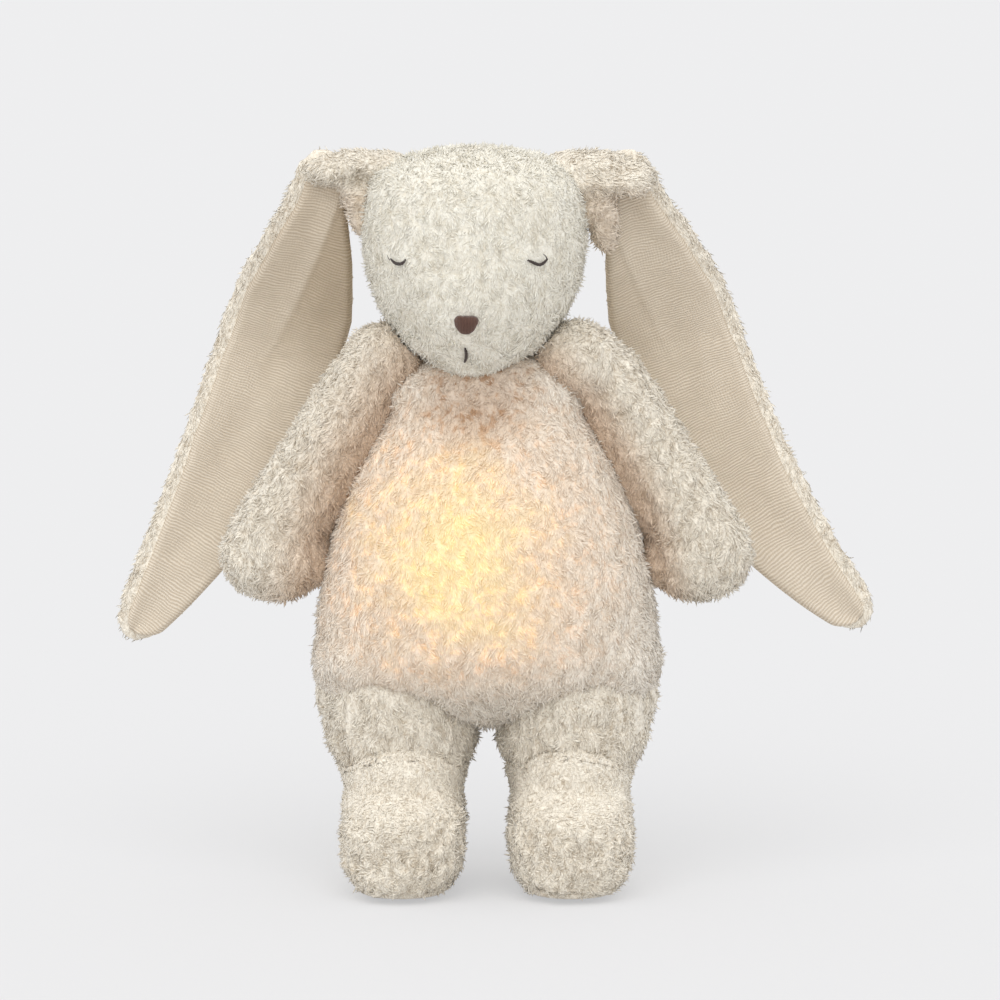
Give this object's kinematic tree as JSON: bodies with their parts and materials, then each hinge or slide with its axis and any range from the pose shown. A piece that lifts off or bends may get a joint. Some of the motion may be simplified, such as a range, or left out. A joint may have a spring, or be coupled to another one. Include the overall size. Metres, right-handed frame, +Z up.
{
  "type": "plush night light",
  "caption": "Standing stuffed rabbit with long hanging ears and a removable light unit behind its belly, in a pocket closed by a back flap.",
  "frame": {"origin": "on the floor under the middle of the whole toy's outer box, where the soles stand", "axes": "+Z up; the toy faces -Y; +X is to the right as seen from the front"},
  "size_m": [0.3106, 0.1264, 0.3093],
  "materials": {
    "cream_pile": "long clumpy cream pile",
    "ear_lining": "flat woven beige cotton",
    "brown_thread": "satin embroidery thread",
    "pocket_cloth": "plain woven lining",
    "closure_tape": "hook and loop tape",
    "white_case": "fine matt moulded",
    "opal_diffuser": "opal, light diffusing",
    "green_board": "solder mask",
    "warm_led": "clear resin over phosphor",
    "battery_wrap": "shrink film",
    "foam_pad": "closed cell foam",
    "lead_plus": "wire insulation",
    "lead_minus": "wire insulation",
    "socket_steel": "plated shell",
    "switch_black": "moulded",
    "button_rubber": "matt soft touch",
    "screw_steel": "plated"
  },
  "bodies": {
    "body": {"torso": "cream_pile", "tail": "cream_pile", "pocket_liner": "pocket_cloth", "loop_strip": "closure_tape"},
    "head": {"head": "cream_pile", "ear_root_left": "cream_pile", "ear_root_right": "cream_pile", "eye_stitch_left": "brown_thread", "eye_stitch_right": "brown_thread", "nose_embroidery": "brown_thread", "mouth_stitch": "brown_thread"},
    "ear_left": {"ear_back_left": "cream_pile", "ear_lining_left": "ear_lining"},
    "ear_right": {"ear_back_right": "cream_pile", "ear_lining_right": "ear_lining"},
    "arm_left": {"arm_left": "cream_pile"},
    "arm_right": {"arm_right": "cream_pile"},
    "leg_left": {"leg_left": "cream_pile", "foot_left": "cream_pile"},
    "leg_right": {"leg_right": "cream_pile", "foot_right": "cream_pile"},
    "flap": {"back_flap": "cream_pile", "hook_strip": "closure_tape"},
    "light_unit": {"rear_case": "white_case", "front_diffuser": "opal_diffuser", "case_screw_1": "screw_steel", "case_screw_2": "screw_steel", "case_screw_3": "screw_steel", "case_screw_4": "screw_steel", "circuit_board": "green_board", "light_diode_1": "warm_led", "light_diode_2": "warm_led", "light_diode_3": "warm_led", "light_diode_4": "warm_led", "battery_cell": "battery_wrap", "battery_pad": "foam_pad", "battery_lead_plus": "lead_plus", "battery_lead_minus": "lead_minus", "power_switch": "switch_black", "timer_switch": "switch_black", "charging_socket": "socket_steel"},
    "power_button": {"power_button": "button_rubber"},
    "timer_button": {"timer_button": "button_rubber"}
  },
  "joints": [
    {"name": "head_turn", "type": "hinge", "parent": "body", "child": "head", "pos_m": [-0.00617, -0.00125, 0.214], "axis": [0, 0, 1], "range_deg": [-5, 5], "stiffness_Nm_per_rad": 0.3},
    {"name": "ear_left_lift", "type": "hinge", "parent": "head", "child": "ear_left", "pos_m": [-0.07017, 0.00675, 0.298], "axis": [0, 1, 0], "range_deg": [0, 100]},
    {"name": "ear_right_lift", "type": "hinge", "parent": "head", "child": "ear_right", "pos_m": [0.05783, 0.00675, 0.298], "axis": [0, -1, 0], "range_deg": [0, 100]},
    {"name": "arm_left_swing", "type": "hinge", "parent": "body", "child": "arm_left", "pos_m": [-0.03938, -0.00125, 0.205], "axis": [-0.8829, 0, 0.4695], "range_deg": [0, 75], "stiffness_Nm_per_rad": 0.05},
    {"name": "arm_right_swing", "type": "hinge", "parent": "body", "child": "arm_right", "pos_m": [0.03704, -0.00125, 0.205], "axis": [-0.8829, 0, -0.4695], "range_deg": [0, 75], "stiffness_Nm_per_rad": 0.05},
    {"name": "leg_left_bend", "type": "hinge", "parent": "body", "child": "leg_left", "pos_m": [-0.03617, -0.00125, 0.08], "axis": [-1, 0, 0], "range_deg": [0, 40], "stiffness_Nm_per_rad": 0.4, "springref_deg": -14.32},
    {"name": "leg_right_bend", "type": "hinge", "parent": "body", "child": "leg_right", "pos_m": [0.03383, -0.00125, 0.08], "axis": [-1, 0, 0], "range_deg": [0, 40], "stiffness_Nm_per_rad": 0.4, "springref_deg": -14.32},
    {"name": "light_unit_slide", "type": "slide", "parent": "body", "child": "light_unit", "axis": [0, 1, 0], "range_m": [0, 0.055]},
    {"name": "flap_open", "type": "hinge", "parent": "body", "child": "flap", "pos_m": [-0.00917, 0.03284, 0.193], "axis": [1, 0, 0], "range_deg": [0, 132]},
    {"name": "power_press", "type": "slide", "parent": "light_unit", "child": "power_button", "axis": [0, -1, 0], "range_m": [0, 0.0008], "stiffness_N_per_m": 1000},
    {"name": "timer_press", "type": "slide", "parent": "light_unit", "child": "timer_button", "axis": [0, -1, 0], "range_m": [0, 0.0008], "stiffness_N_per_m": 1000}
  ],
  "couplings": [
    {"joint": "flap_open", "follows": "light_unit_slide", "rad_per_m": 41.8}
  ]
}
